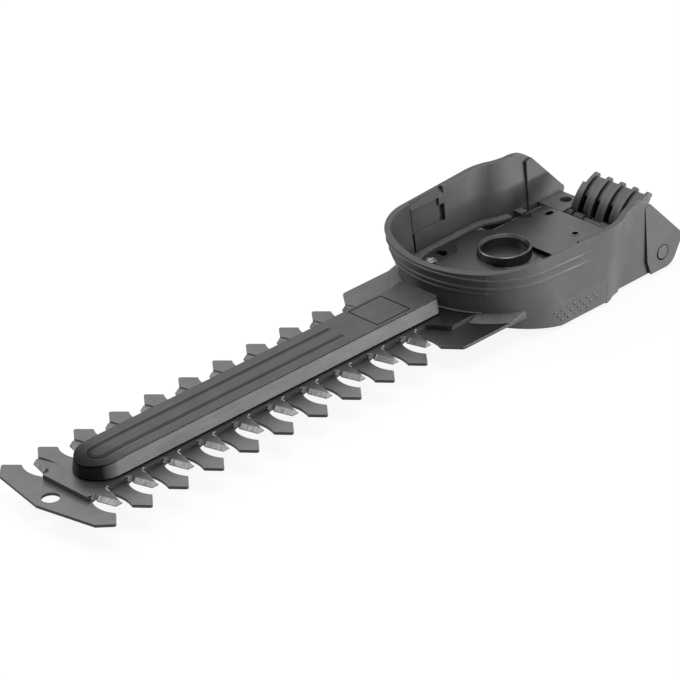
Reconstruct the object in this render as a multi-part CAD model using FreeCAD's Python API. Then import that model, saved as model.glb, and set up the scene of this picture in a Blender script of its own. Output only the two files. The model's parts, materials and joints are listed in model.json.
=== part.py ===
import FreeCAD, Part
import math
import os

os.makedirs("parts", exist_ok=True)
V = FreeCAD.Vector

# Frame: origin on the crank axis of the machine, at the top face of the guard comb.
# +X runs forward to the tip of the comb, +Y to the left of the user, +Z up to the open
# side of the tub. All sizes are millimetres.

# Blade set
pitch = 20.0
teeth = 9
stroke = 15.0
half_stroke = stroke / 2.0
comb_t = 1.4
slide_gap = 0.08
blade_t = 2.2
blade_bot = slide_gap
blade_top = blade_bot + blade_t

# Guard comb: a blunt tooth goes from its shoulder to its head, with a round waist behind it
first_shoulder_x = 268.0
tip_reach = 17.7
tip_corner = (12.0, 30.3)
shoulder_y = 29.8
shoulder_gap = 11.07
head_x = 5.7
head_y = 36.4
head_r = 1.1
waist_y = 22.2
waist_depth = 2.3
waist_lead = 1.57
gullet_y = 14.6
gullet_depth = 0.9
gullet_end = 0.27
wing_x = 73.0
wing_y = 38.0
wing_corner = (1.5, 0.4)
wing_rear_x = -9.0
wing_end_x = -17.0
tip_hole_x = 277.7
tip_hole_r = 4.1
comb_rear_x = -50.0
comb_rear_half = 30.0
lens_hole = (16.2, 32.0)
lens_hole_r = 2.9
lens_hole_cut = 1.4

# Sharp teeth of the moving blade, measured from the middle of a tooth
blade_tip_x = 269.9
spine_y = 13.9
tooth_sink = 2.0
tooth_offset = 5.0
tooth_tip_y = 26.1
tooth_tip_half = 1.8
tooth_root_half = 4.9
bevel_w = 1.6
tip_bevel_w = 0.4
edge_land = 0.3
grind_y = 15.9
grind_x = 4.6
grind_top_r = 2.2
grind_bot_r = 1.0

# Tail of the moving blade
tail_front_x = 74.0
tail_overlap = 14.0
tail_rise = ((3.5, 16.2), (7.0, 22.2))
tail_rise_end = 8.6
tail_y = 23.5
tail_wide_x = 6.5
tail_flare = 8.0
yoke_y = 31.5
yoke_end_x = -8.0
yoke_rear_x = -13.5
yoke_rear_y = 25.6
tail_narrow_x = -39.0
tail_rear_x = -46.5
tail_rear_half = 21.0
round_hole = (-34.7, 3.5)
round_hole_r = 1.5
collar_r = 2.4
collar_sink = 0.2
collar_rise = 0.15
oval_hole = (-42.0, 19.4)
oval_hole_half = 0.9
oval_hole_r = 1.5
tail_notch_x = -33.0
tail_notch_r = 2.4

# Drive ring and its cross slot
ring_r = 12.45
ring_bore_r = 10.6
ring_top = 6.0
ring_edge = 0.3
ring_mouth = (0.9, 1.4)
ring_foot_r = 14.4
ring_foot_t = 0.85
ring_foot_edge = 0.4
ring_y = -half_stroke
run_gap = 0.3
step_gap = 0.25
slot_r = ring_r + run_gap
slot_step_r = ring_foot_r + run_gap
slot_step_z = blade_bot + ring_foot_t + step_gap

# Cover bar
bar_bot = 3.0
bar_top = 10.4
bar_half_top = 10.7
bar_half_bot = 11.8
bar_nose_x = 262.2
bar_nose_extra = 1.5
bar_nose_lean = 1.1
bar_rear_x = 60.2
bar_corner_r = 2.5
bar_bend_x = 240.0
bar_drop = 1.9
lid_line_top = 0.3
lid_line_bot = 0.65
line_w = 0.5
line_depth = 0.35
tongue_nose_x = 250.2
tongue_rear_x = 113.0
tongue_half = 4.7
tongue_inset = 1.2
label_x0 = 76.6
label_x1 = 97.0
label_half = 9.3
boss_r = 4.0
boss_first_x = 232.0
boss_pitch = 50.0
boss_count = 4

# Screws: a head is its radius and its height
head_taper = 0.3
recess_reach = 0.55
recess_width = 0.25
bar_screw_head = (3.6, 2.0)
bar_screw_r = 2.0
bar_screw_hole_r = 2.25
bar_screw_fit = 0.05
bar_screw_len = 9.0
bar_screw_spare = 0.4
front_screw = (25.6, 29.2)
front_screw_head = (3.0, 1.5)
front_screw_len = 8.5
front_screw_r = 1.5
front_screw_hole_r = 2.2
rear_screw = (-60.5, 26.5)
rear_screw_head = (2.6, 1.8)
rear_screw_len = 5.6
rear_screw_r = 1.4
rear_screw_seat_z = -4.0
rear_screw_seat_r = 2.9
screw_pass_gap = 0.2
screw_bite = 0.05

# Tub: half outline at the foot and at the rim. A bend is offsets from the waist point.
wall = 2.8
skin_t = 1.1
rim_z = 26.6
tub_foot_r = 42.5
tub_centre_x = 14.0
foot_turn = 38.0
rim_front_r = 58.7
rim_centre_x = 2.5
rim_turn = 33.0
rim_side_x = 31.5
rim_side_y = 43.0
rim_shoulder = (14.5, -5.9)
waist_x = -13.0
rim_waist_y = 45.5
rim_bend = ((0.0, 0.0), (-6.2, -0.4), (-11.8, -2.2))
foot_waist_y = 43.1
foot_bend = ((4.0, 0.0), (-2.0, -0.3), (-7.4, -1.8))
neck_x = -38.0
rim_neck_y = 39.3
rim_neck_bend = (-17.4, 1.4)
foot_neck_y = 38.2
foot_neck_bend = (-12.4, 0.9)
foot_neck_lead = 7.0
rear_end_x = -75.0
rim_rear_taper = 0.6
foot_rear_taper = 0.4

# Tub seen from the side: the rim dips to the front and swells behind, where the ears begin
front_end_x = 75.0
rim_front_z = 22.9
rim_front_fall = 3.0
rim_front_corner = 1.0
rim_dip = (44.5, 25.2, 28.0, 26.1)
rim_level_x = -12.0
rim_swell = ((-23.0, 0.4), (-34.0, 1.1), (-41.6, 0.5))
ear_top = (-47.1, 23.9)
ear_back = (-66.7, 3.1)
ear_chin = ((-68.1, 0.6, -66.2, -1.9), (-63.4, -6.4), (-60.4, -10.0, -55.0))
ear_bot = -11.2
ear_in_y = 34.6
ear_pad_y = 39.3
pad_top = (-43.4, 23.0)
pad_foot = (-44.2, -4.6)
pad_foot_step = 2.4
waist_step_x = -25.6
waist_step_z = -12.4
waist_step_run = 0.5
open_rear_half = 33.4
open_rear_gap = 2.0
part_gap = 0.15

# Grip ridges round the front of the tub
ridge_h = 0.5
ridge_z = (20.9, 16.5)
front_ridge_z = 13.7
ridge_tilt = 1.6
ridge_sink = 0.12
ridge_half = 0.95
ridge_fade = 0.8
ridge_end_x = -4.0

# Foot of the tub: ledge inside, skirt and lip outside, room for the tail of the blade
ledge_w = 3.8
ledge_h = 1.3
ledge_rear_x = -30.0
ledge_front_x = 52.0
tail_stop_x = (-39.0, -35.0)
tail_stop_y = (30.6, 36.5)
tail_stop_h = 1.2
skirt_r = 48.3
skirt_z = 3.0
skirt_sink = 0.6
skirt_rear_x = 20.0
skirt_side = 0.1
lip_rise = (0.3, 1.2)
lip_out = 1.3
lip_half = 25.5
lip_rear_x = 40.0
tail_gap_z = 0.25
tail_gap_y = 0.4
yoke_gap_y = 1.0
tail_room_x = 30.0
tail_room_flare = (6.0, 2.0)
yoke_room_x = -20.0
notch_outline = ((38.8, 0.6), (38.8, 3.6), (36.4, 4.4), (33.4, 1.2), (33.4, 0.6))
notch_gap = 0.4

# Catch in each side wall
catch_x0 = 7.6
catch_x1 = 25.2
catch_in_y = 36.0
catch_out_y = 45.0
slit_w = 1.4
slit_foot_z = 1.6
window_w = 3.4
window_z = (9.8, 18.2)
pocket_z = (10.3, 22.0)
pocket_depth = 0.9
catch_bevel_x = 4.2
catch_bevel_foot_z = 21.8
catch_bevel = ((36.0, 33.0), (44.6, 33.0), (44.2, 26.4), (40.9, 21.8))

# Belly
belly_z = -13.2
belly_rear_x = -14.0
belly_round = 7.0
belly_floor = 2.4
bow_start = (62.0, 1.0)
bow_edge = (57.0, -0.6)
bow_round = (27.0, -9.3, -4.0)
bow_wall = 3.0
hull_side = 1.0
hull_spare = 0.1
hollow_front_x = 46.0
hollow_half = 36.0
tray_rear_x = -64.0
tray_y = 32.8
tray_rise = 1.2
tray_wall = 2.4
tray_floor = 2.0
tray_room_x = -48.0
comb_play = 0.12
post_r = 4.2
post_sink = 2.0
pilot_spare = 2.0

# Release lever, its pin and the cross blocks beside it
pin_x = -54.8
pin_z = -3.0
pin_r = 1.5
pin_head_r = 3.3
pin_head_t = 1.5
pin_head_sunk = 0.3
pin_seat_offset = 0.5
pin_seat_gap = 0.1
pin_run = 0.05
knuckle_r = 2.6
knuckle_overlap = 1.0
knuckle_clear = 0.01
inner_knuckles = ((-14.7, -9.3), (1.3, 6.7))
lever_half = 19.0
lever_gap = 0.5
lever_foot_z = -2.8
lever_foot_x = (-60.4, -57.0)
lever_under = 1.4
shell_half = 17.1
shell_foot_x = -56.6
rib_pitch = 8.0
rib_count = 5
rib_t = 1.9
rib_foot_x = -55.4
slot_t = 2.2
cheek_foot_x = -55.2
cheek_sink = 0.5
cross_rear_x = -65.8
cross_front_x = -50.4
cross_out_y = 35.0
cross_bot = -6.2
cross_gap = 0.2

# Cutting bodies run past what they cut by one of these.
over = 1.0
through = 5.0
side_reach = 60.0


def box(x0, x1, y0, y1, z0, z1):
    return Part.makeBox(x1 - x0, y1 - y0, z1 - z0, V(x0, y0, z0))


def cyl(x, y, z0, z1, r):
    return Part.makeCylinder(r, z1 - z0, V(x, y, z0))


def cyl_y(x, z, y0, y1, r):
    return Part.makeCylinder(r, y1 - y0, V(x, y0, z), V(0, 1, 0))


def cone(x, y, z0, r0, z1, r1):
    return Part.makeCone(r0, r1, z1 - z0, V(x, y, z0))


def polygon(points, z):
    return Part.makePolygon([V(x, y, z) for x, y in points + points[:1]])


def prism(points, z0, z1):
    return Part.Face(polygon(points, z0)).extrude(V(0, 0, z1 - z0))


def fuse(items):
    out = items[0]
    if len(items) > 1:
        out = out.multiFuse(items[1:])
    return out.removeSplitter()


def mirror_y(shape):
    return shape.mirror(V(0, 0, 0), V(0, 1, 0))


def both_sides(shape):
    return [shape, mirror_y(shape)]


def mirrored_outline(points):
    """Outline of a half from front to rear and back along its mirror image."""
    return points + [(x, -y) for x, y in reversed(points)]


def trace(start, steps):
    """Edges from start along the steps: (x, y) is a line, (mx, my, x, y) an arc through (mx, my)."""
    edges = []
    here = V(start[0], start[1], 0)
    for step in steps:
        there = V(step[-2], step[-1], 0)
        if len(step) == 4:
            edges.append(Part.Arc(here, V(step[0], step[1], 0), there).toShape())
        else:
            edges.append(Part.makeLine(here, there))
        here = there
    return edges


def side_plate(start, steps, y0, y1):
    """Closed outline in the XZ plane, drawn like trace, as a plate from y0 to y1."""
    wire = Part.Wire(trace(start, list(steps) + [start]))
    wire.rotate(V(0, 0, 0), V(1, 0, 0), 90)
    wire.translate(V(0, y0, 0))
    return Part.Face(wire).extrude(V(0, y1 - y0, 0))


def cross_plate(start, steps, x0, x1):
    """Closed outline in the YZ plane, drawn like trace, as a plate from x0 to x1."""
    face = Part.Face(Part.Wire(trace(start, list(steps) + [start])))
    face.rotate(V(0, 0, 0), V(1, 0, 0), 90)
    face.rotate(V(0, 0, 0), V(0, 0, 1), 90)
    return face.extrude(V(x1 - x0, 0, 0)).translated(V(x0, 0, 0))


def corner(a, b, c, r):
    """Steps that run from a towards b, turn there with radius r and leave towards c."""
    at = V(b[0], b[1], 0)
    to_a = (V(a[0], a[1], 0) - at).normalize()
    to_c = (V(c[0], c[1], 0) - at).normalize()
    half = to_a.getAngle(to_c) / 2.0
    p = at + to_a * (r / math.tan(half))
    q = at + to_c * (r / math.tan(half))
    m = at + (to_a + to_c).normalize() * (r / math.sin(half) - r)
    return [(p.x, p.y), (m.x, m.y, q.x, q.y)]


def slot_along_x(x, y, half, r, z0, z1):
    mid = box(x - half, x + half, y - r, y + r, z0, z1)
    return mid.fuse([cyl(x - half, y, z0, z1, r), cyl(x + half, y, z0, z1, r)])


def slot_along_y(x, half, r, z0, z1):
    mid = box(x - r, x + r, -half, half, z0, z1)
    return mid.fuse([cyl(x, -half, z0, z1, r), cyl(x, half, z0, z1, r)])


def ring_point(cx, r, degrees):
    a = math.radians(degrees)
    return (cx + r * math.cos(a), r * math.sin(a))


def from_point(x, y, offsets):
    return [(x + dx, y + dy) for dx, dy in offsets]


# Half outline of the tub, from the front round to the rear: two arcs, the long side,
# the two arcs of the waist and the cheek. Each arc has one point between its ends.
foot_angles = (0.0, foot_turn / 2, foot_turn, (foot_turn + 90.0) / 2, 90.0)
foot_line = [ring_point(tub_centre_x, tub_foot_r, a) for a in foot_angles]
foot_line += from_point(waist_x, foot_waist_y, foot_bend)
foot_line += from_point(waist_x, foot_neck_y, [foot_neck_bend])
foot_line += [(neck_x + foot_neck_lead, foot_neck_y), (rear_end_x, foot_neck_y - foot_rear_taper)]
rim_line = [ring_point(rim_centre_x, rim_front_r, a) for a in (0.0, rim_turn / 2, rim_turn)]
rim_line += from_point(rim_side_x, rim_side_y, [rim_shoulder, (0.0, 0.0)])
rim_line += from_point(waist_x, rim_waist_y, rim_bend)
rim_line += from_point(waist_x, rim_neck_y, [rim_neck_bend])
rim_line += [(neck_x, rim_neck_y), (rear_end_x, rim_neck_y - rim_rear_taper)]
arcs_and_lines = (2, 2, 1, 2, 2, 1)


def tub_line(z):
    t = z / rim_z
    return [(a[0] + (b[0] - a[0]) * t, a[1] + (b[1] - a[1]) * t) for a, b in zip(foot_line, rim_line)]


def inset(points, depths):
    """Moves each point of a half outline inwards by its own depth, square to the outline."""
    out = [(points[0][0] - depths[0], 0.0)]
    last = len(points) - 1
    for i in range(1, last + 1):
        a = points[i - 1]
        b = points[min(i + 1, last)]
        tx, ty = b[0] - a[0], b[1] - a[1]
        m = math.hypot(tx, ty)
        out.append((points[i][0] - depths[i] * ty / m, points[i][1] + depths[i] * tx / m))
    return out


def as_steps(points, kinds):
    steps = []
    i = 1
    for n in kinds:
        steps.append(sum(points[i:i + n], ()))
        i += n
    return steps


def closed_ring(half_points, kinds, z):
    """Wire of a half outline and its mirror image, closed across the rear."""
    half = trace(half_points[0], as_steps(half_points, kinds))
    other = [mirror_y(e) for e in half]
    rear = Part.makeLine(half[-1].Vertexes[-1].Point, other[-1].Vertexes[-1].Point)
    wire = Part.Wire(Part.sortEdges(half + other + [rear])[0])
    wire.translate(V(0, 0, z))
    return wire


def tub_solid(z0, z1, d):
    """Everything inside the tub's outer face, moved inwards by d."""
    rings = []
    for z in (z0, z1):
        line = tub_line(z)
        rings.append(closed_ring(inset(line, [d] * len(line)), arcs_and_lines, z))
    return Part.makeLoft(rings, True, True)


below = belly_z - 2.0
above = rim_z + 6.0
tub_full = tub_solid(below, above, 0.0)
tub_inner = tub_solid(below - over, above + over, wall)
tub_skin = tub_solid(below - over, above + over, skin_t)


# Guard comb: one sheared plate with blunt teeth on both sides.
def comb_half():
    x0 = first_shoulder_x
    tip = (x0 + tip_reach, 0.0)
    front = (x0 + tip_corner[0], tip_corner[1])
    steps = [front]
    steps += corner(front, (x0 + head_x, head_y), (x0, shoulder_y), head_r)
    steps.append((x0, shoulder_y))
    for k in range(teeth + 1):
        rear = x0 - pitch * k
        n = rear - pitch
        root_front = n + shoulder_gap - gullet_end
        steps.append((rear + waist_depth, waist_y, rear, gullet_y))
        steps.append(((rear + root_front) / 2.0, gullet_y - gullet_depth, root_front, gullet_y))
        shoulder = (n + shoulder_gap, shoulder_y)
        steps.append((shoulder[0] - waist_lead, waist_y) + shoulder)
        if k < teeth:
            steps += corner(shoulder, (n + head_x, head_y), (n, shoulder_y), head_r)
            steps.append((n, shoulder_y))
    steps += [(wing_x, wing_y - wing_corner[1]), (wing_x - wing_corner[0], wing_y), (wing_rear_x, wing_y),
              (wing_end_x, comb_rear_half), (comb_rear_x, comb_rear_half), (comb_rear_x, 0.0), tip]
    face = Part.Face(Part.Wire(trace(tip, steps)))
    return face.extrude(V(0, 0, comb_t)).translated(V(0, 0, -comb_t))


boss_x = [boss_first_x - boss_pitch * i for i in range(boss_count)]
comb = fuse(both_sides(comb_half()))
cuts = [cyl(tip_hole_x, 0, -through, through, tip_hole_r)]
for bx in boss_x:
    cuts.append(cyl(bx, 0, -through, through, bar_screw_hole_r))
screw_hole = cyl(front_screw[0], front_screw[1], -through, through, front_screw_hole_r)
lens = cyl(lens_hole[0], lens_hole[1], -through, through, lens_hole_r)
lens = lens.common(box(lens_hole[0] - 2 * lens_hole_r, lens_hole[0] + lens_hole_cut, 0, wing_y,
                       -through, through))
cuts += both_sides(screw_hole) + both_sides(lens)
guard_comb = comb.cut(cuts)


# Moving blade: sharp teeth in front, a wide tail with the cross slot behind.
def edge_bevel(p, q, width):
    """Wedge that bevels the top of the blade along its edge p to q, with the blade on the right."""
    spare = 0.1
    way = V(q[0] - p[0], q[1] - p[1], 0)
    across = V(way.y, -way.x, 0).normalize() * width
    rise = V(0, 0, blade_t - edge_land)
    foot = V(p[0], p[1], blade_bot + edge_land) - way
    low = foot - (across + rise) * spare
    high = foot + (across + rise) * (1.0 + spare)
    ring = Part.makePolygon([low, high, V(low.x, low.y, high.z), low])
    return Part.Face(ring).extrude(way * 3)


def blade_tooth(cx):
    """One tooth of the +Y side, bevelled on both flanks and lightly at its tip."""
    inner_y = spine_y - tooth_sink
    slope = (tooth_root_half - tooth_tip_half) / (tooth_tip_y - gullet_y)
    inner_half = tooth_tip_half + slope * (tooth_tip_y - inner_y)
    outline = [(cx - inner_half, inner_y), (cx - tooth_tip_half, tooth_tip_y),
               (cx + tooth_tip_half, tooth_tip_y), (cx + inner_half, inner_y)]
    tooth = prism(outline, blade_bot, blade_top)
    widths = (bevel_w, tip_bevel_w, bevel_w)
    return tooth.cut([edge_bevel(p, q, w) for p, q, w in zip(outline, outline[1:], widths)])


cut_bot = blade_bot - over
cut_top = blade_top + over
tooth_x = [first_shoulder_x - tooth_offset - pitch * k for k in range(teeth + 1)]
blade_parts = [box(tail_front_x - tail_overlap, blade_tip_x, -spine_y, spine_y, blade_bot, blade_top)]
cuts = []
flare = (grind_top_r - grind_bot_r) / blade_t * over
for cx in tooth_x:
    blade_parts += both_sides(blade_tooth(cx))
    for gx in (cx - grind_x, cx + grind_x):
        cuts += both_sides(cone(gx, grind_y, cut_bot, grind_bot_r - flare, cut_top, grind_top_r + flare))
tail = [(tail_front_x, spine_y - tooth_sink)] + [(tail_front_x - back, y) for back, y in tail_rise]
tail += [(tail_front_x - tail_rise_end, tail_y), (tail_wide_x + tail_flare, tail_y), (tail_wide_x, yoke_y),
         (yoke_end_x, yoke_y), (yoke_rear_x, yoke_rear_y), (tail_narrow_x, yoke_rear_y),
         (tail_rear_x, tail_rear_half)]
blade_parts.append(prism(mirrored_outline(tail), blade_bot, blade_top))
blade = fuse(blade_parts)
cuts.append(slot_along_y(0, half_stroke, slot_r, cut_bot, cut_top))
cuts.append(slot_along_y(0, half_stroke, slot_step_r, cut_bot, slot_step_z))
for bx in boss_x:
    cuts.append(slot_along_x(bx, 0, half_stroke, boss_r + run_gap, cut_bot, cut_top))
round_bore = cyl(round_hole[0], round_hole[1], cut_bot, cut_top + over, round_hole_r)
cuts.append(round_bore)
cuts += both_sides(slot_along_x(oval_hole[0], oval_hole[1], oval_hole_half, oval_hole_r, cut_bot, cut_top))
cuts += both_sides(cyl(tail_notch_x, yoke_rear_y, cut_bot, cut_top, tail_notch_r))
blade = blade.cut(cuts)
collar = cyl(round_hole[0], round_hole[1], blade_top - collar_sink, blade_top + collar_rise, collar_r)
moving_blade = fuse([blade, collar.cut(round_bore)])

# Drive ring: a turned sleeve with a flared foot held under the step of the cross slot.
foot_top = blade_bot + ring_foot_t
profile = [V(ring_bore_r, 0, blade_bot), V(ring_foot_r, 0, blade_bot),
           V(ring_foot_r, 0, foot_top - ring_foot_edge), V(ring_r, 0, foot_top),
           V(ring_r, 0, ring_top - ring_edge), V(ring_r - ring_edge, 0, ring_top),
           V(ring_bore_r + ring_mouth[0], 0, ring_top), V(ring_bore_r, 0, ring_top - ring_mouth[1])]
ring_face = Part.Face(Part.makePolygon(profile + [profile[0]]))
drive_ring = ring_face.revolve(V(0, 0, 0), V(0, 0, 1), 360).translated(V(0, ring_y, 0))


# Cover bar: a rounded rail over the blades, with a lid line round its top edge.
def bar_outline(half_w, nose, z):
    cx = nose - half_w - bar_nose_extra
    rear = (bar_rear_x, 0.0)
    edge = (bar_rear_x, half_w)
    steps = corner(rear, edge, (cx, half_w), bar_corner_r)
    steps.append((cx, half_w))
    steps.append((cx + (nose - cx) * math.sqrt(0.5), half_w * math.sqrt(0.5), nose, 0.0))
    half = trace(rear, steps)
    wire = Part.Wire(Part.sortEdges(half + [mirror_y(e) for e in half])[0])
    wire.translate(V(0, 0, z))
    return wire


def bar_band(z0, z1, grow):
    """Slice of the bar from z0 to z1, with its sides moved out by grow."""
    rings = []
    for z in (z0, z1):
        t = (z - bar_bot) / (bar_top - bar_bot)
        half_w = bar_half_bot + (bar_half_top - bar_half_bot) * t + grow
        rings.append(bar_outline(half_w, bar_nose_x - bar_nose_lean * t + grow, z))
    return Part.makeLoft(rings, True, True)


def nose_fall(x):
    return bar_drop * ((x - bar_bend_x) / (bar_nose_x - bar_bend_x)) ** 2


def under_top(depth):
    """Room under the top of the bar, which is flat and then falls in an arc to the nose."""
    rear, end = bar_rear_x - through, bar_nose_x + through
    mid = (bar_bend_x + end) / 2.0
    z = bar_top - depth
    steps = [(rear, z), (bar_bend_x, z), (mid, z - nose_fall(mid), end, z - nose_fall(end)), (end, 0.0)]
    return side_plate((rear, 0.0), steps, -bar_half_bot - through, bar_half_bot + through)


def tongue_line(grow, depth):
    """Engraved U line on top of the bar, open towards the rear."""
    mid = (tongue_nose_x + tongue_rear_x) / 2.0
    reach = (tongue_nose_x - tongue_rear_x) / 2.0
    outer = slot_along_x(mid, 0, reach, tongue_half + grow + line_w / 2, bar_bot, bar_top + over)
    inner = slot_along_x(mid, 0, reach, tongue_half + grow - line_w / 2, bar_bot - over, bar_top + 2 * over)
    kept = box(tongue_rear_x, bar_nose_x, -bar_half_top, bar_half_top, bar_bot, bar_top + over)
    return outer.cut(inner).common(kept).cut(under_top(depth))


bar = bar_band(bar_bot, bar_top, 0.0).common(under_top(0.0))
for bx in boss_x:
    bar = bar.fuse(cyl(bx, 0, 0, bar_bot + over, boss_r))
lid_line = bar_band(bar_bot + over, bar_top, over).cut(bar_band(bar_bot, bar_top + over, -line_depth))
lid_line = lid_line.common(under_top(lid_line_top)).cut(under_top(lid_line_bot))
label_out = box(label_x0, label_x1, -label_half, label_half, bar_top - line_depth, bar_top + over)
label_in = box(label_x0 + line_w, label_x1 - line_w, line_w - label_half, label_half - line_w,
               bar_top - 2 * over, bar_top + 2 * over)
cuts = [lid_line, label_out.cut(label_in), tongue_line(0.0, line_depth),
        tongue_line(-tongue_inset, line_depth / 2)]
for bx in boss_x:
    cuts.append(cyl(bx, 0, -over, bar_screw_len - comb_t + bar_screw_spare, bar_screw_r + bar_screw_fit))
cover_bar = bar.cut(cuts).removeSplitter()


# Screws: a tapered pan head with a cross recess, head up and seat at z = 0.
def pan_screw(head_size, shank_r, length):
    head_r, head_h = head_size
    head = cone(0, 0, 0, head_r, head_h, head_r - head_h * head_taper)
    arm = head_r * recess_reach
    for half_x, half_y in ((arm, arm * recess_width), (arm * recess_width, arm)):
        head = head.cut(box(-half_x, half_x, -half_y, half_y, head_h / 2, head_h + over))
    return head.fuse(cyl(0, 0, -length, 0, shank_r)).removeSplitter()


upside_down = pan_screw(bar_screw_head, bar_screw_r, bar_screw_len)
upside_down.rotate(V(0, 0, 0), V(1, 0, 0), 180)
bar_screws = Part.makeCompound([upside_down.translated(V(bx, 0, -comb_t)) for bx in boss_x])
front_screw_solid = pan_screw(front_screw_head, front_screw_r, front_screw_len)
front_screw_solid.translate(V(front_screw[0], front_screw[1], 0))
front_housing_screws = Part.makeCompound(both_sides(front_screw_solid))
rear_screw_solid = pan_screw(rear_screw_head, rear_screw_r, rear_screw_len)
rear_screw_solid.translate(V(rear_screw[0], rear_screw[1], rear_screw_seat_z))
rear_housing_screws = Part.makeCompound(both_sides(rear_screw_solid))

# Tub: walls, rim, ears, foot skirt and inner catches in one moulding.
shell_rear = belly_rear_x - part_gap
rear_steps = [ear_back, ear_chin[0], ear_chin[1], ear_chin[2] + (ear_bot,)]
rim_rear = [(x, rim_z + dz) for x, dz in rim_swell]
side_steps = [(front_end_x, rim_front_z - rim_front_fall),
              (rim_front_r + rim_centre_x - rim_front_corner, rim_front_z),
              rim_dip, (rim_level_x, rim_z), rim_rear[0] + rim_rear[1], rim_rear[2] + ear_top]
side_steps += rear_steps
side_steps += [(waist_step_x - waist_step_run, ear_bot), (waist_step_x, waist_step_z),
               (shell_rear, waist_step_z), (shell_rear, 0.0)]
side_view = side_plate((front_end_x, 0.0), side_steps, -side_reach, side_reach)
open_rear = box(rear_end_x - through, neck_x - open_rear_gap, -open_rear_half, open_rear_half, below, above)
walls = tub_full.cut(tub_inner.fuse(open_rear)).common(side_view)
pad_steps = rear_steps + [(pad_foot[0] - pad_foot_step, ear_bot), pad_foot, pad_top]
pad = side_plate(ear_top, pad_steps, ear_in_y, ear_pad_y)
# Low ledge inside the foot of the wall, with a stop beside the tail.
foot_ledge = tub_full.cut(tub_solid(below, above, wall + ledge_w))
foot_ledge = foot_ledge.common(box(ledge_rear_x, ledge_front_x, -side_reach, side_reach, 0, ledge_h))
tail_stop = box(tail_stop_x[0], tail_stop_x[1], tail_stop_y[0], tail_stop_y[1], 0.0, tail_stop_h)
# Skirt over the wings of the comb, and a low lip under the rear of the bar.
skirt_y = wing_y + skirt_side
skirt = cone(tub_centre_x, 0, 0, skirt_r, skirt_z, tub_foot_r - skirt_sink)
skirt = skirt.common(box(skirt_rear_x, front_end_x, -skirt_y, skirt_y, 0, through)).cut(tub_inner)
lip_z0, lip_z1 = [blade_top + rise for rise in lip_rise]
lip = cone(tub_centre_x, 0, lip_z0, tub_foot_r + lip_out, lip_z1, tub_foot_r)
lip = lip.common(box(lip_rear_x, front_end_x, -lip_half, lip_half, 0, through)).cut(tub_inner)
# Cross block between each ear and the lever.
lever_room = lever_half + lever_gap
block = box(cross_rear_x, cross_front_x, lever_room, cross_out_y, cross_bot, 0.0)


def ridge(zc, kept, kinds, tilt):
    """Grip ridge at height zc. It follows the first kept points and fades out behind them."""
    rings = []
    bands = ((-ridge_half, -ridge_sink), (-ridge_half / 2, ridge_h), (ridge_half / 2, ridge_h),
             (ridge_half, -ridge_sink))
    for dz, h in bands:
        line = tub_line(zc + dz)
        a, b = line[kept - 1], line[kept]
        t = min(1.0, (a[0] - ridge_end_x) / (a[0] - b[0]))
        end = (a[0] + (b[0] - a[0]) * t, a[1] + (b[1] - a[1]) * t)
        points = inset(line[:kept] + [end], [-h] * (kept - 1) + [-h * ridge_fade, ridge_sink])
        rings.append(closed_ring(points, kinds, zc + dz))
    loft = Part.makeLoft(rings, True, True)
    loft.rotate(V(rim_centre_x + rim_front_r, 0, zc), V(0, 1, 0), -tilt)
    return loft.cut(tub_skin)


ridges = [ridge(z, 5, (2, 2, 1), ridge_tilt) for z in ridge_z]
ridges.append(ridge(front_ridge_z, 3, (2, 1), 0.0))
tub = fuse([walls, foot_ledge, skirt, lip] + both_sides(pad) + both_sides(block)
           + both_sides(tail_stop) + ridges)
# Room for the tail of the moving blade: a slot in the front wall and its way to the yoke.
tail_half = tail_y + tail_gap_y
tail_room_top = blade_top + tail_gap_z
cuts = [box(tail_room_x, front_end_x, -tail_half, tail_half, -over, tail_room_top)]
yoke_half = yoke_y + yoke_gap_y
room = [(front_end_x - through, tail_half), (tail_wide_x + tail_room_flare[0], tail_half),
        (tail_wide_x - tail_room_flare[1], yoke_half), (yoke_room_x, yoke_half)]
cuts.append(prism(mirrored_outline(room), -over, tail_room_top))
# Catch in each side wall: slit, window, lead-in bevel and a pocket over a ledge.
slit = box(catch_x1, catch_x1 + slit_w, catch_in_y, catch_out_y, slit_foot_z, above).common(tub_skin)
window = box(catch_x0 - window_w, catch_x0, catch_in_y, catch_out_y, window_z[0], window_z[1])
bevel = cross_plate((catch_in_y, catch_bevel_foot_z), catch_bevel, catch_bevel_x, catch_x1 + slit_w)
pocket = box(catch_x0, catch_x1, catch_in_y, catch_out_y, pocket_z[0], pocket_z[1])
pocket = pocket.common(tub_solid(below, above, wall - pocket_depth))
# Notch where the edge of the wing meets the side.
notch = side_plate(notch_outline[0], notch_outline[1:], wing_y + notch_gap, side_reach)
# Sunk seat for the rear screw, and the pin bore with a sunk seat for its head.
screw_seat = cyl(rear_screw[0], rear_screw[1], rear_screw_seat_z, through, rear_screw_seat_r)
screw_pass = cyl(rear_screw[0], rear_screw[1], below, through, rear_screw_r + screw_pass_gap)
pin_bore = cyl_y(pin_x, pin_z, lever_half, side_reach, pin_r + pin_run)
pin_seat_y = ear_pad_y - pin_head_t - pin_head_sunk
pin_seat_r = pin_head_r + pin_seat_offset + pin_seat_gap
pin_seat = cyl_y(pin_x + pin_seat_offset, pin_z, pin_seat_y, side_reach, pin_seat_r)
side_cuts = (slit, window.common(tub_skin), bevel.common(tub_skin), pocket, notch, screw_seat, screw_pass,
             pin_bore, pin_seat)
for item in side_cuts:
    cuts += both_sides(item)
tub_housing = tub.cut(cuts).removeSplitter()

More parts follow.
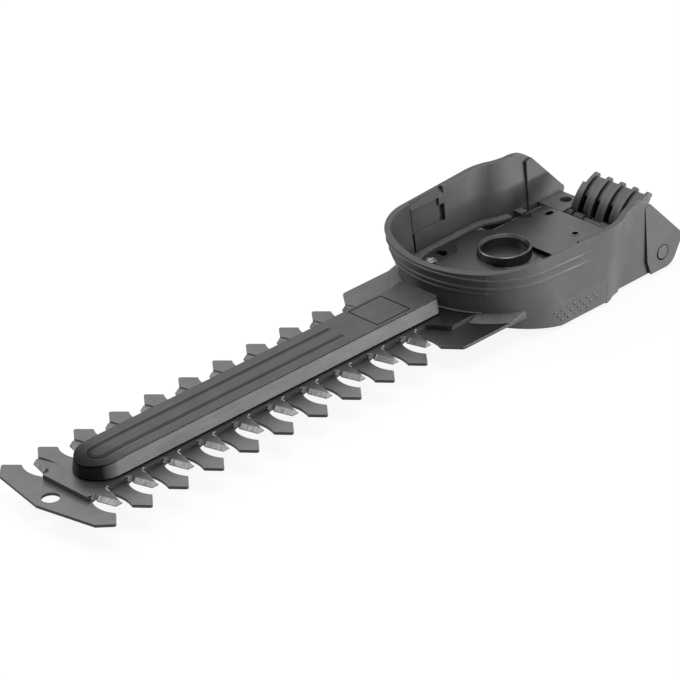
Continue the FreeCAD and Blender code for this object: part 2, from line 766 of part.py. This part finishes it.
# Belly: the lower shell that carries the comb in a recess and rises to the front like a boat.
keel_steps = [bow_edge, bow_round + (belly_z,), (belly_rear_x, belly_z), (belly_rear_x, bow_start[1])]
keel = side_plate(bow_start, keel_steps, -side_reach, side_reach)
side_y = foot_waist_y + hull_side
hull_z = belly_z - hull_spare
quarter = belly_round * math.sqrt(0.5)
bilge = (side_y - belly_round + quarter, hull_z + belly_round - quarter, side_y, hull_z + belly_round)
hull_steps = [(side_y - belly_round, hull_z), bilge, (side_y, over), (0.0, over)]
hull = fuse(both_sides(cross_plate((0.0, hull_z), hull_steps, belly_rear_x - over, front_end_x)))
belly_room = box(belly_rear_x, front_end_x, -side_reach, side_reach, below, 0)
belly_block = tub_full.common(belly_room).common(keel).common(hull)
shell_inner_x = belly_rear_x + wall
hollow_box = box(shell_inner_x, hollow_front_x, -hollow_half, hollow_half, belly_z + belly_floor, over)
hollow = tub_inner.common(hollow_box).common(keel.translated(V(-bow_wall, 0, belly_floor)))
# Tray behind the belly, which carries the rear of the comb between the ears.
tray_bot = ear_bot + tray_rise
tray = box(tray_rear_x, shell_inner_x, -tray_y, tray_y, tray_bot, -comb_t)
tray_in_y = tray_y - tray_wall
tray_room = box(tray_room_x, belly_rear_x, -tray_in_y, tray_in_y, tray_bot + tray_floor, over)
belly = fuse([belly_block.cut(hollow), tray.cut(tray_room)])
rear_x = cross_rear_x - through
keep = [box(rear_x, cross_front_x + cross_gap, -lever_room, lever_room, cross_bot - lever_under, through),
        box(rear_x, cross_front_x + cross_gap, -side_reach, side_reach, cross_bot - part_gap, through),
        comb, comb.translated(V(comb_play, 0, 0))]
post = cyl(front_screw[0], front_screw[1], belly_z + post_sink, -comb_t, post_r)
pilot_bot = -front_screw_len - pilot_spare
pilot = cyl(front_screw[0], front_screw[1], pilot_bot, through, front_screw_r + screw_bite)
rear_pilot = cyl(rear_screw[0], rear_screw[1], below, through, rear_screw_r + screw_bite)
belly = belly.cut(keep + both_sides(rear_pilot)).fuse(both_sides(post))
lower_shell = belly.cut(both_sides(pilot)).removeSplitter()

# Release lever: an arched shell with five thin ribs, turning on the latch pin.
shell_steps = [(-60.7, 5.5, -69.0, 11.9), (-70.6, 11.9, -70.9, 10.6), (-70.2, 9.2),
               (-63.6, 3.2, -60.4, lever_foot_z)]
rib_steps = [(-59.7, 6.5, -69.5, 13.2), (-71.6, 13.2, -72.2, 11.4), (-70.4, 10.2),
             (-61.8, 4.6, -58.0, lever_foot_z)]
slot_steps = [(-60.7, 5.5, -67.4, 10.9), (-62.5, 4.4, -59.2, lever_foot_z - over)]
cheek_steps = [(-59.8, 6.1, -64.6, 10.4), (-66.6, 8.2), (-62.0, 3.6, -60.4, lever_foot_z)]
shell = side_plate((shell_foot_x, lever_foot_z), shell_steps, -shell_half, shell_half)
cheek = side_plate((cheek_foot_x, lever_foot_z), cheek_steps, shell_half - cheek_sink, lever_half)
foot = box(lever_foot_x[0], lever_foot_x[1], -lever_half, lever_half, pin_z - knuckle_r, lever_foot_z)
outer_knuckle = (shell_half - knuckle_overlap, lever_half)
knuckle_y = [(-outer_knuckle[1], -outer_knuckle[0])] + list(inner_knuckles) + [outer_knuckle]
added = [foot] + [cyl_y(pin_x, pin_z, y0, y1, knuckle_r) for y0, y1 in knuckle_y]
barrel = cyl_y(pin_x, pin_z, -lever_half - over, lever_half + over, knuckle_r + knuckle_clear)
slots = []
for i in range(rib_count):
    yc = (i - (rib_count - 1) / 2.0) * rib_pitch
    added.append(side_plate((rib_foot_x, lever_foot_z), rib_steps, yc - rib_t / 2, yc + rib_t / 2))
    if i < rib_count - 1:
        y0 = yc + rib_t / 2
        slot = side_plate((rib_foot_x, lever_foot_z - over), slot_steps, y0, y0 + slot_t)
        slots.append(slot.cut(barrel))
lever = fuse([fuse([shell] + both_sides(cheek)).cut(slots)] + added)
pin_hole = cyl_y(pin_x, pin_z, -lever_half - over, lever_half + over, pin_r + pin_run)
release_lever = lever.cut(pin_hole).removeSplitter()

# Latch pin through both ears and the lever, with a flat head at each end.
head_y0 = pin_seat_y + pin_seat_gap
head = cyl_y(pin_x, pin_z, head_y0, head_y0 + pin_head_t, pin_head_r)
latch_pin = fuse([cyl_y(pin_x, pin_z, -head_y0, head_y0, pin_r)] + both_sides(head))

nodes = {
    "guard_comb": guard_comb,
    "moving_blade": moving_blade,
    "drive_ring": drive_ring,
    "cover_bar": cover_bar,
    "bar_screws": bar_screws,
    "tub_housing": tub_housing,
    "lower_shell": lower_shell,
    "front_housing_screws": front_housing_screws,
    "rear_housing_screws": rear_housing_screws,
    "release_lever": release_lever,
    "latch_pin": latch_pin,
}
for name, shape in nodes.items():
    shape.exportStep("parts/" + name + ".step")
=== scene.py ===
import json
import math

import bmesh
import bpy
from mathutils import Matrix, Vector
from mathutils.bvhtree import BVHTree


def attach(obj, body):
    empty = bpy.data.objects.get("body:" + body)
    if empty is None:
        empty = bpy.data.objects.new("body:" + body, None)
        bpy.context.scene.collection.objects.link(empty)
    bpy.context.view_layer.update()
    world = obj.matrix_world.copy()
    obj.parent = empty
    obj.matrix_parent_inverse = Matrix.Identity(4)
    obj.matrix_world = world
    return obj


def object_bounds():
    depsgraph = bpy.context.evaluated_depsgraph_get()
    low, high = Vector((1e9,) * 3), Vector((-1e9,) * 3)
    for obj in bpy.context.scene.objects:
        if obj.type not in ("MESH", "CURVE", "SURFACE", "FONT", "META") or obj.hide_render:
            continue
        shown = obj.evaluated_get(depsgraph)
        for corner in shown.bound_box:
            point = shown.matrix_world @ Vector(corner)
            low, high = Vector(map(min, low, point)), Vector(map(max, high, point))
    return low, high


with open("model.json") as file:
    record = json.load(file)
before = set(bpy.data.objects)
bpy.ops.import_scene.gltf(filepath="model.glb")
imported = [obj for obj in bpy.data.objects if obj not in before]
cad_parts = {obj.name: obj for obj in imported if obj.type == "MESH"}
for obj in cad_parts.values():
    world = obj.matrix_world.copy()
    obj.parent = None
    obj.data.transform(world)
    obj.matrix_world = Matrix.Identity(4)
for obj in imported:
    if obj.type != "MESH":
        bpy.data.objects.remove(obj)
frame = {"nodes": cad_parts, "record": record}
cad_lo, cad_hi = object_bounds()
nodes = frame["nodes"]
MM = 0.001

# Camera, solved from the teeth: azimuth, elevation and roll of the view, its aim and its distance.
VIEW_AZIMUTH = math.radians(47.282)
VIEW_ELEVATION = math.radians(28.388)
VIEW_ROLL = math.radians(-2.994)
VIEW_DISTANCE = 1.74888
VIEW_SHIFT_X = -0.11231
VIEW_SHIFT_Y = -0.06146
AIM_OFFSET = 0.268
IMAGE_WIDTH_PX = 680
FOCAL_PX = 4229.322
SENSOR_MM = 36.0
CLIP_NEAR = 0.01
CLIP_FAR = 100.0

# Greys of the surfaces, from 0 for black to 1 for white.
COMB_TONE = 0.2
BLADE_TONE = 0.19
# Darker grey of the upright cut edges of comb and blade: painted shade.
CUT_EDGE_SHADE_TONE = 0.06
GROUND_TONES = (0.36, 0.82)
RING_TONE = 0.1
BAR_TONE = 0.06
HOUSING_TONE = 0.06
# Added grey on the housing's low ledges: painted light, with dust.
LEDGE_LIGHT_AND_DUST_TONE = 0.04
# Lever greys from its painted-shade foot to its painted-light top.
LEVER_TONES = (0.04, 0.15)
ZINC_TONES = (0.86, 0.98)
PIN_TONES = (0.06, 0.08)

# Shine of the plastics and the pin, and roughness of each surface.
PLASTIC_SHINE = 0.25
# Lower shine on the bar's nose: painted shade.
SHADED_NOSE_SHINE = 0.04
BLACKENED_ROUGHNESS = (0.34, 0.44)
SHEARED_ROUGHNESS = 0.5
GROUND_ROUGHNESS = (0.34, 0.5)
TURNED_ROUGHNESS = (0.28, 0.4)
BAR_ROUGHNESS = 0.34
HOUSING_ROUGHNESS = 0.46
LEVER_ROUGHNESS = 0.42
ZINC_ROUGHNESS = (0.16, 0.28)
PIN_ROUGHNESS = (0.42, 0.55)

# Places on the object, in millimetres: from and to.
# Where the comb and the blade go from painted shade by the tub to full grey, along X.
TUB_SHADE_X = (50.0, 130.0)
# Where the comb's painted edge highlight fades, from strong near the tub to faint.
COMB_EDGE_HIGHLIGHT_X = (90.0, 110.0)
# Across which the comb turns lighter towards its near side, +Y, as painted light.
NEAR_SIDE_LIGHT_Y = (-20.0, 20.0)
# Where the blade's painted edge highlight fades, along its tail.
TAIL_END_X = (60.0, 70.0)
# Where the blade's bevels go from darker near the tub to full brightness.
BEVELS_DIMMED_X = (85.0, 165.0)
# Across which the bevels' painted shade on the far side fades.
BEVEL_SIDES_Y = (-10.0, 10.0)
TOOTH_ROOT_Y = (17.5, 18.5)
SPINE_EDGE_Y = (13.3, 13.7)
RING_CENTRE_Y = -7.5
# Height below which level housing faces get painted light and dust.
LOW_LEDGE_Z = (3.2, 3.6)
# Height over which the lever goes from painted shade at its foot to painted light at its top.
LEVER_LIGHT_SHADE_Z = (2.0, 24.0)

# Ranges: where most of a noise lies, and nearly all of it, and from 0 to 1 and back.
MOST = (0.3, 0.7)
NEARLY_ALL = (0.25, 0.75)
RISE = (0.0, 1.0)
FALL = (1.0, 0.0)


def make_camera():
    ca, sa = math.cos(VIEW_AZIMUTH), math.sin(VIEW_AZIMUTH)
    ce, se = math.cos(VIEW_ELEVATION), math.sin(VIEW_ELEVATION)
    back = Vector((ca * ce, sa * ce, se))
    level = Vector((-sa, ca, 0.0))
    above = back.cross(level)
    cr, sr = math.cos(VIEW_ROLL), math.sin(VIEW_ROLL)
    right = level * cr + above * sr
    up = level * -sr + above * cr
    centre = right * -VIEW_SHIFT_X + up * -VIEW_SHIFT_Y + back * VIEW_DISTANCE
    centre.x += AIM_OFFSET
    data = bpy.data.cameras.new("view")
    data.sensor_width = SENSOR_MM
    data.lens = FOCAL_PX / IMAGE_WIDTH_PX * SENSOR_MM
    data.clip_start, data.clip_end = CLIP_NEAR, CLIP_FAR
    cam = bpy.data.objects.new("view", data)
    cam.matrix_world = Matrix((
        (right.x, up.x, back.x, centre.x),
        (right.y, up.y, back.y, centre.y),
        (right.z, up.z, back.z, centre.z),
        (0.0, 0.0, 0.0, 1.0),
    ))
    bpy.context.scene.collection.objects.link(cam)
    bpy.context.scene.camera = cam


class Look:
    """One procedural material. Its patterns follow the object, in millimetres."""

    BEVEL_SAMPLES = 4
    SHADE_SAMPLES = 8
    EDGE_BEND = (0.02, 0.25)

    def __init__(self, name, metallic=0.0, specular=0.5):
        self.mat = bpy.data.materials.new(name)
        self.mat.use_nodes = True
        self.tree = self.mat.node_tree
        self.shader = self.tree.nodes["Principled BSDF"]
        self.shader.inputs["Metallic"].default_value = metallic
        self.shader.inputs["Specular IOR Level"].default_value = specular
        self.coords = self.node("ShaderNodeTexCoord")
        self.mm = self.node("ShaderNodeVectorMath", {0: self.coords.outputs["Object"], "Scale": 1.0 / MM},
                            operation="SCALE").outputs["Vector"]

    def node(self, kind, inputs=None, **settings):
        new = self.tree.nodes.new(kind)
        for key, value in settings.items():
            setattr(new, key, value)
        for key, value in (inputs or {}).items():
            if isinstance(value, bpy.types.NodeSocket):
                self.tree.links.new(value, new.inputs[key])
            else:
                new.inputs[key].default_value = value
        return new

    def math(self, operation, a, b=0.0):
        return self.node("ShaderNodeMath", {0: a, 1: b}, operation=operation).outputs[0]

    def plus(self, a, b):
        return self.math("ADD", a, b)

    def times(self, first, *others):
        for other in others:
            first = self.math("MULTIPLY", first, other)
        return first

    def mix(self, factor, a, b):
        """Value a where the factor is 0, b where it is 1."""
        return self.node("ShaderNodeMix", {"Factor": factor, "A": a, "B": b}).outputs["Result"]

    def remap(self, value, start, end):
        """Turns the values between the two of start into those between the two of end."""
        made = self.node("ShaderNodeMapRange", {"Value": value, "From Min": start[0], "From Max": start[1],
                                                "To Min": end[0], "To Max": end[1]})
        return made.outputs["Result"]

    def stretched(self, *scale):
        return self.node("ShaderNodeMapping", {"Vector": self.mm, "Scale": scale}).outputs["Vector"]

    def noise(self, scale, detail, roughness, vector=None):
        made = self.node("ShaderNodeTexNoise", {"Vector": vector or self.mm, "Scale": scale,
                                                "Detail": detail, "Roughness": roughness})
        return made.outputs["Fac"]

    def facing(self, axis):
        return self.node("ShaderNodeSeparateXYZ", {0: self.coords.outputs["Normal"]}).outputs[axis]

    def up_facing(self):
        """1 on level faces, 0 on upright ones."""
        return self.math("ABSOLUTE", self.facing("Z"))

    def along(self, axis):
        """Place along one axis of the object, in millimetres."""
        return self.node("ShaderNodeSeparateXYZ", {0: self.mm}).outputs[axis]

    def rounded(self, radius_mm):
        """Normal of the surface as if its edges were rounded."""
        bevel = self.node("ShaderNodeBevel", {"Radius": radius_mm * MM}, samples=self.BEVEL_SAMPLES)
        return bevel.outputs[0]

    def edge(self, radius_mm):
        """1 along sharp edges, 0 on the open surface."""
        flat = self.node("ShaderNodeNewGeometry").outputs["True Normal"]
        dot = self.node("ShaderNodeVectorMath", {0: self.rounded(radius_mm), 1: flat},
                        operation="DOT_PRODUCT").outputs["Value"]
        return self.remap(self.math("SUBTRACT", 1.0, dot), self.EDGE_BEND, RISE)

    def crevice(self, reach_mm, covered, free):
        """0 in grooves and inner corners, 1 on open surfaces."""
        shade = self.node("ShaderNodeAmbientOcclusion", {"Distance": reach_mm * MM},
                          samples=self.SHADE_SAMPLES, only_local=True)
        return self.remap(shade.outputs["AO"], (covered, free), RISE)

    def finish(self, grey, roughness, bumps, rounding_mm=0.0):
        """Connects the grey value, the roughness and the bumps (height, strength, depth in mm)."""
        colour = self.node("ShaderNodeCombineColor", {0: grey, 1: grey, 2: grey})
        self.tree.links.new(colour.outputs[0], self.shader.inputs["Base Color"])
        self.tree.links.new(roughness, self.shader.inputs["Roughness"])
        normal = self.rounded(rounding_mm) if rounding_mm else None
        for height, strength, depth in bumps:
            inputs = {"Height": height, "Strength": strength, "Distance": depth * MM}
            if normal:
                inputs["Normal"] = normal
            normal = self.node("ShaderNodeBump", inputs).outputs[0]
        self.tree.links.new(normal, self.shader.inputs["Normal"])
        return self.mat


def blackened(look, patch_scale, speck_scale, tone):
    """Grey of a blackened steel top, with patches and specks."""
    patches = look.remap(look.noise(patch_scale, 4.0, 0.6), MOST, (0.9, 1.1))
    specks = look.remap(look.noise(speck_scale, 3.0, 0.7), NEARLY_ALL, (0.92, 1.08))
    return look.times(patches, specks, tone)


def comb_steel():
    """Blackened sheet steel: mottled top, fine rolling grain, painted shade towards the tub and painted
    light on its near side, upright cut edges darker as painted shade, and painted highlights on its edges.
    """
    look = Look("comb_steel", metallic=1.0)
    x, y = look.along("X"), look.along("Y")
    # Painted shade darker towards the tub, painted light on the near side.
    tub_shade_near_side_light = look.times(look.remap(x, TUB_SHADE_X, (0.7, 1.0)), look.remap(y, NEAR_SIDE_LIGHT_Y, (0.97, 1.12)))
    top = look.times(blackened(look, 0.12, 1.7, COMB_TONE), tub_shade_near_side_light)
    # Painted shade: upright faces get a darker grey; their roughness stays that of cut edges.
    upright_faces = look.remap(look.up_facing(), (0.4, 0.8), FALL)
    # Painted highlight: lighter edges, strongest near the tub.
    edge_highlight_and_wear = look.times(look.edge(0.25), look.remap(x, COMB_EDGE_HIGHLIGHT_X, (0.22, 0.05)))
    grey = look.plus(look.mix(upright_faces, top, CUT_EDGE_SHADE_TONE), edge_highlight_and_wear)
    grain = look.noise(1.0, 3.0, 0.6, look.stretched(0.25, 4.0, 4.0))
    rough = look.remap(grain, MOST, BLACKENED_ROUGHNESS)
    return look.finish(grey, look.mix(upright_faces, rough, SHEARED_ROUGHNESS), [(grain, 0.25, 0.01)])


def blade_steel():
    """Blackened blade with bright ground bevels and ground gullet corners; its blackened steel darkens
    towards the tub as painted shade, and its bevels are darker towards the tub.
    """
    look = Look("blade_steel", metallic=1.0)
    x, y, up = look.along("X"), look.along("Y"), look.up_facing()
    # Painted shade: darker towards the tub.
    black = look.times(blackened(look, 0.1, 1.9, BLADE_TONE), look.remap(x, TUB_SHADE_X, (0.75, 1.0)))
    reach = look.math("ABSOLUTE", y)
    root = look.remap(reach, TOOTH_ROOT_Y, FALL)
    side = look.mix(root, look.remap(up, (0.25, 0.35), FALL), look.remap(up, (0.05, 0.12), FALL))
    slope = look.remap(up, (0.97, 0.9), RISE)
    ground = look.times(slope, look.remap(reach, SPINE_EDGE_Y, RISE), look.math("SUBTRACT", 1.0, side))
    strokes = look.noise(1.0, 4.0, 0.7, look.stretched(0.25, 1.3, 0.4))
    # Bevels darker towards the tub, except at the tooth roots.
    bevels_dimmed_tubward = look.math("MAXIMUM", look.remap(x, BEVELS_DIMMED_X, (0.4, 1.0)), root)
    # Painted shade: bevels darker on steep faces and on the far side.
    shaded = look.times(look.remap(up, (0.4, 0.8), (0.2, 1.0)), look.remap(y, BEVEL_SIDES_Y, (0.5, 1.0)))
    bright = look.times(look.remap(strokes, (0.35, 0.65), GROUND_TONES), shaded, bevels_dimmed_tubward)
    # Painted highlight: lighter edges on the tail.
    edge_highlight_and_wear = look.times(look.edge(0.2), look.remap(x, TAIL_END_X, (0.25, 0.03)))
    # Upright faces take the painted-shade grey of cut edges, ground bevels the bright grey.
    grey = look.plus(look.mix(ground, look.mix(side, black, CUT_EDGE_SHADE_TONE), bright), edge_highlight_and_wear)
    grain = look.noise(1.0, 3.0, 0.6, look.stretched(0.3, 4.0, 4.0))
    brushed = look.plus(look.remap(strokes, MOST, GROUND_ROUGHNESS), look.remap(up, (0.5, 0.8), (0.2, 0.0)))
    rough = look.mix(ground, look.remap(grain, MOST, BLACKENED_ROUGHNESS), brushed)
    return look.finish(grey, rough, [(grain, 0.2, 0.01), (strokes, 0.3, 0.02)])


def ring_steel():
    """Turned sleeve, blackened, with fine turning rings and rims lighter by wear and painted highlight."""
    look = Look("ring_steel", metallic=1.0)
    centre = look.node("ShaderNodeVectorMath", {0: look.mm, 1: (0.0, -RING_CENTRE_Y, 0.0)}, operation="ADD")
    turned = look.node("ShaderNodeTexWave", {"Vector": centre.outputs[0], "Scale": 1.4, "Distortion": 0.4,
                                             "Detail": 2.0}, wave_type="RINGS", rings_direction="Z")
    rings = turned.outputs["Fac"]
    spots = look.times(look.remap(look.noise(0.9, 4.0, 0.6), MOST, (0.8, 1.2)), RING_TONE)
    # Lighter rims: wear and painted highlight.
    grey = look.plus(spots, look.times(look.edge(0.25), 0.3))
    return look.finish(grey, look.remap(rings, RISE, TURNED_ROUGHNESS), [(rings, 0.15, 0.01)], 0.2)


def moulded(look, tone, roughness, shine, hollow_shade, edge_highlight_and_wear_level=0.0, groove_mm=1.2, grain_mm=0.03, rounding_mm=0.35):
    """Moulded plastic: grained and clouded, lighter on its edges by wear and painted highlight, and given
    painted shade that makes it dark and dull in its grooves and deeper recesses.
    """
    clouds = look.remap(look.noise(0.09, 4.0, 0.6), MOST, (0.9, 1.12))
    grain = look.noise(3.3, 3.0, 0.65)
    mottled = look.times(clouds, look.remap(grain, MOST, (0.92, 1.08)), tone)
    dust = look.remap(look.noise(0.75, 5.0, 0.75), (0.58, 0.76), (0.0, 0.02))
    # Painted shade: 0 in grooves, inner corners and recesses, which are darkened and made less shiny.
    crevice_shade = look.times(look.crevice(groove_mm, 0.1, 0.75), look.crevice(*hollow_shade))
    # Lighter edges: partly wear, partly painted highlight, kept out of the painted-shaded grooves.
    edge_highlight_and_wear = look.times(look.edge(0.3), edge_highlight_and_wear_level, crevice_shade)
    grey = look.times(look.plus(look.plus(mottled, dust), edge_highlight_and_wear), look.remap(crevice_shade, RISE, (0.1, 1.0)))
    look.tree.links.new(look.times(crevice_shade, shine), look.shader.inputs["Specular IOR Level"])
    uneven = look.remap(look.noise(0.6, 4.0, 0.65), MOST, (-0.05, 0.05))
    return look.finish(grey, look.plus(uneven, roughness), [(grain, 0.4, grain_mm)], rounding_mm)


def bar_plastic():
    """Drawn out along the bar, with painted shade darkest at its nose, painted light palest on its sides,
    and painted shade along its edges and grooves.
    """
    look = Look("bar_plastic")
    # Painted light on the sides facing ±Y, painted shade on the nose facing +X.
    side = look.remap(look.math("ABSOLUTE", look.facing("Y")), (0.8, 0.98), RISE)
    nose = look.remap(look.facing("X"), (0.02, 0.14), RISE)
    drawn = look.remap(look.noise(1.0, 4.0, 0.6, look.stretched(0.06, 0.5, 0.5)), MOST, (0.85, 1.15))
    # Painted shade: darkens edges and grooves.
    line_shade = look.remap(look.edge(0.45), RISE, (1.0, 0.15))
    tone = look.times(drawn, BAR_TONE, line_shade, look.mix(side, look.mix(nose, 0.85, 0.15), 1.3))
    # Painted shade: less shine on the nose and along edges and grooves.
    shine = look.times(look.remap(nose, RISE, (PLASTIC_SHINE, SHADED_NOSE_SHINE)), line_shade)
    return moulded(look, tone, BAR_ROUGHNESS, shine, (5.0, 0.1, 0.6), groove_mm=0.8, grain_mm=0.02,
                   rounding_mm=0.1)


def housing_plastic():
    """Housing, with painted light and dust on its low level ledges."""
    look = Look("housing_plastic")
    level = look.remap(look.up_facing(), (0.4, 0.7), RISE)
    # Painted light and dust on low level faces.
    low_ledge_light_and_dust = look.times(look.remap(look.along("Z"), LOW_LEDGE_Z, FALL), level)
    ragged = look.remap(look.noise(0.5, 4.0, 0.7), (0.35, 0.6), (0.35, 1.0))
    tone = look.plus(look.times(low_ledge_light_and_dust, ragged, LEDGE_LIGHT_AND_DUST_TONE), HOUSING_TONE)
    return moulded(look, tone, HOUSING_ROUGHNESS, PLASTIC_SHINE, (5.0, 0.15, 0.7), edge_highlight_and_wear_level=0.09)


def lever_plastic():
    """Ribbed lever, with painted light at its top and painted shade at its foot."""
    look = Look("lever_plastic")
    # Painted shade at the foot, painted light at the top.
    top_light_foot_shade = look.remap(look.along("Z"), LEVER_LIGHT_SHADE_Z, LEVER_TONES)
    return moulded(look, top_light_foot_shade, LEVER_ROUGHNESS, PLASTIC_SHINE, (8.0, 0.35, 0.9), edge_highlight_and_wear_level=0.14)


def zinc_steel():
    """Bright zinc plating with a slightly uneven skin."""
    look = Look("zinc_steel", metallic=1.0)
    skin = look.noise(0.9, 3.0, 0.5)
    grey = look.remap(skin, MOST, ZINC_TONES)
    return look.finish(grey, look.remap(skin, MOST, ZINC_ROUGHNESS), [(skin, 0.1, 0.01)], 0.25)


def pin_steel():
    """Dull dark pin with a slightly uneven skin."""
    look = Look("pin_steel", metallic=0.2, specular=PLASTIC_SHINE)
    skin = look.noise(1.1, 4.0, 0.65)
    grey = look.remap(skin, MOST, PIN_TONES)
    return look.finish(grey, look.remap(skin, MOST, PIN_ROUGHNESS), [(skin, 0.3, 0.02)], 0.3)


make_camera()
makers = (comb_steel, blade_steel, ring_steel, bar_plastic, zinc_steel, housing_plastic, lever_plastic,
          pin_steel)
looks = {maker.__name__: maker() for maker in makers}
for row in frame["record"]["subparts"]:
    obj = nodes[row["node"]]
    obj.data.materials.clear()
    obj.data.materials.append(looks[row["material_slot"]])


def surface(node):
    """The node's mesh as a tree that can be asked where a straight line meets it."""
    mesh = bmesh.new()
    mesh.from_mesh(nodes[node].data)
    tree = BVHTree.FromBMesh(mesh)
    mesh.free()
    return tree


def add_piece(name, mesh, body, slot):
    data = bpy.data.meshes.new(name)
    mesh.to_mesh(data)
    mesh.free()
    for face in data.polygons:
        face.use_smooth = True
    data.materials.append(looks[slot])
    piece = bpy.data.objects.new(name, data)
    bpy.context.scene.collection.objects.link(piece)
    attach(piece, body)


# Grip studs low on both sides of the belly, in three staggered rows: height, first stud and count.
STUD_ROWS = ((-3.4, 19.5, 7), (-5.8, 17.5, 7), (-8.2, 15.5, 5))
STUD_PITCH = 4.1
STUD_RADIUS = 0.85
STUD_HEIGHT = 0.3
STUD_SIDES = 12
STUD_RINGS = ((1.0, -0.3), (1.0, 0.0), (0.86, 0.55), (0.5, 0.92))
OUTSIDE_Y = 60.0


def dome(mesh, spot, normal, radius, height):
    """Low round stud standing on a surface. A ring is a share of the radius and one of the height."""
    across = normal.orthogonal().normalized()
    along = normal.cross(across)
    rows = []
    for share, lift in STUD_RINGS:
        row = []
        for i in range(STUD_SIDES):
            a = 2.0 * math.pi * i / STUD_SIDES
            side = across * math.cos(a) + along * math.sin(a)
            row.append(mesh.verts.new(spot + side * radius * share + normal * height * lift))
        rows.append(row)
    top = mesh.verts.new(spot + normal * height)
    for i in range(STUD_SIDES):
        j = (i + 1) % STUD_SIDES
        for low, high in zip(rows, rows[1:]):
            mesh.faces.new((low[i], low[j], high[j], high[i]))
        mesh.faces.new((rows[-1][i], rows[-1][j], top))
    mesh.faces.new(list(reversed(rows[0])))


belly = surface("lower_shell")
for side, label in ((1, "left"), (-1, "right")):
    studs = bmesh.new()
    for z, first, count in STUD_ROWS:
        for i in range(count):
            start = Vector((first - STUD_PITCH * i, side * OUTSIDE_Y, z)) * MM
            spot, normal, _, _ = belly.ray_cast(start, Vector((0.0, -side, 0.0)))
            if spot:
                dome(studs, spot, normal, STUD_RADIUS * MM, STUD_HEIGHT * MM)
    add_piece("grip_studs_" + label, studs, "base", "housing_plastic")


# Floor: it shows white to the eye and to reflections, and keeps a light shadow of the object.
FLOOR_HALF = 6.0
FLOOR_GLOW_SHARE = 0.9
FLOOR_LIT_TONE = 0.2
FLOOR_SEEN_TONE = 0.8


def floor_look():
    mat = bpy.data.materials.new("floor")
    mat.use_nodes = True
    tree = mat.node_tree
    tree.nodes.clear()
    out = tree.nodes.new("ShaderNodeOutputMaterial")
    paper = tree.nodes.new("ShaderNodeBsdfDiffuse")
    glow = tree.nodes.new("ShaderNodeEmission")
    glow.inputs["Color"].default_value = (1.0, 1.0, 1.0, 1.0)
    glow.inputs["Strength"].default_value = 1.0
    path = tree.nodes.new("ShaderNodeLightPath")
    seen = path.outputs["Is Camera Ray"]
    for kind in ("Is Glossy Ray", "Is Transmission Ray"):
        both = tree.nodes.new("ShaderNodeMath")
        both.operation = "MAXIMUM"
        tree.links.new(seen, both.inputs[0])
        tree.links.new(path.outputs[kind], both.inputs[1])
        seen = both.outputs[0]
    share = tree.nodes.new("ShaderNodeMath")
    share.operation = "MULTIPLY"
    share.inputs[1].default_value = FLOOR_GLOW_SHARE
    tree.links.new(seen, share.inputs[0])
    tone = tree.nodes.new("ShaderNodeMapRange")
    tone.inputs["To Min"].default_value = FLOOR_LIT_TONE
    tone.inputs["To Max"].default_value = FLOOR_SEEN_TONE
    tree.links.new(seen, tone.inputs["Value"])
    tree.links.new(tone.outputs["Result"], paper.inputs["Color"])
    mix = tree.nodes.new("ShaderNodeMixShader")
    tree.links.new(share.outputs[0], mix.inputs[0])
    tree.links.new(paper.outputs[0], mix.inputs[1])
    tree.links.new(glow.outputs[0], mix.inputs[2])
    tree.links.new(mix.outputs[0], out.inputs["Surface"])
    return mat


floor_mesh = bpy.data.meshes.new("floor")
corners = [(x * FLOOR_HALF, y * FLOOR_HALF, 0.0) for x, y in ((-1, -1), (1, -1), (1, 1), (-1, 1))]
floor_mesh.from_pydata(corners, [], [(0, 1, 2, 3)])
floor = bpy.data.objects.new("floor", floor_mesh)
floor.location.z = cad_lo.z
floor_mesh.materials.append(floor_look())
bpy.context.scene.collection.objects.link(floor)


# Studio: a pale sky that darkens low on the +X side, a long low lamp behind on the left of the
# object, and two soft lamps, in front on its right and high above.
SKY_LOW = 0.02
SKY_HIGH = 0.95
SKY_TILT = (-0.8, 0.0, 2.0)

# Lamps: name, azimuth and elevation in degrees, width and height in metres, and power in watts.
LAMP_DISTANCE = 1.6
LAMPS = (
    ("side_lamp", 128.0, 0.4, 1.2, 0.05, 45.0),
    ("front_lamp", 292.0, 38.0, 0.8, 0.8, 11.0),
    ("top_lamp", 75.0, 74.0, 0.9, 0.9, 13.0),
)


def make_world():
    world = bpy.data.worlds.new("studio")
    world.use_nodes = True
    tree = world.node_tree
    coords = tree.nodes.new("ShaderNodeTexCoord")
    dot = tree.nodes.new("ShaderNodeVectorMath")
    dot.operation = "DOT_PRODUCT"
    dot.inputs[1].default_value = SKY_TILT
    tree.links.new(coords.outputs["Generated"], dot.inputs[0])
    ramp = tree.nodes.new("ShaderNodeMapRange")
    ramp.interpolation_type = "SMOOTHSTEP"
    ramp.inputs["To Min"].default_value = SKY_LOW
    ramp.inputs["To Max"].default_value = SKY_HIGH
    tree.links.new(dot.outputs["Value"], ramp.inputs["Value"])
    background = tree.nodes["Background"]
    background.inputs["Color"].default_value = (1.0, 1.0, 1.0, 1.0)
    tree.links.new(ramp.outputs["Result"], background.inputs["Strength"])
    bpy.context.scene.world = world


def soft_lamp(name, azimuth, elevation, width, height, watts):
    """Area lamp aimed at the middle of the object."""
    data = bpy.data.lights.new(name, "AREA")
    data.shape = "RECTANGLE"
    data.size, data.size_y = width, height
    data.energy = watts
    lamp = bpy.data.objects.new(name, data)
    a, e = math.radians(azimuth), math.radians(elevation)
    out = Vector((math.cos(a) * math.cos(e), math.sin(a) * math.cos(e), math.sin(e)))
    middle = (cad_lo + cad_hi) / 2.0
    lamp.location = middle + out * LAMP_DISTANCE
    lamp.rotation_euler = out.to_track_quat("Z", "Y").to_euler()
    bpy.context.scene.collection.objects.link(lamp)


make_world()
for lamp in LAMPS:
    soft_lamp(*lamp)
bpy.context.scene.view_settings.view_transform = "Standard"
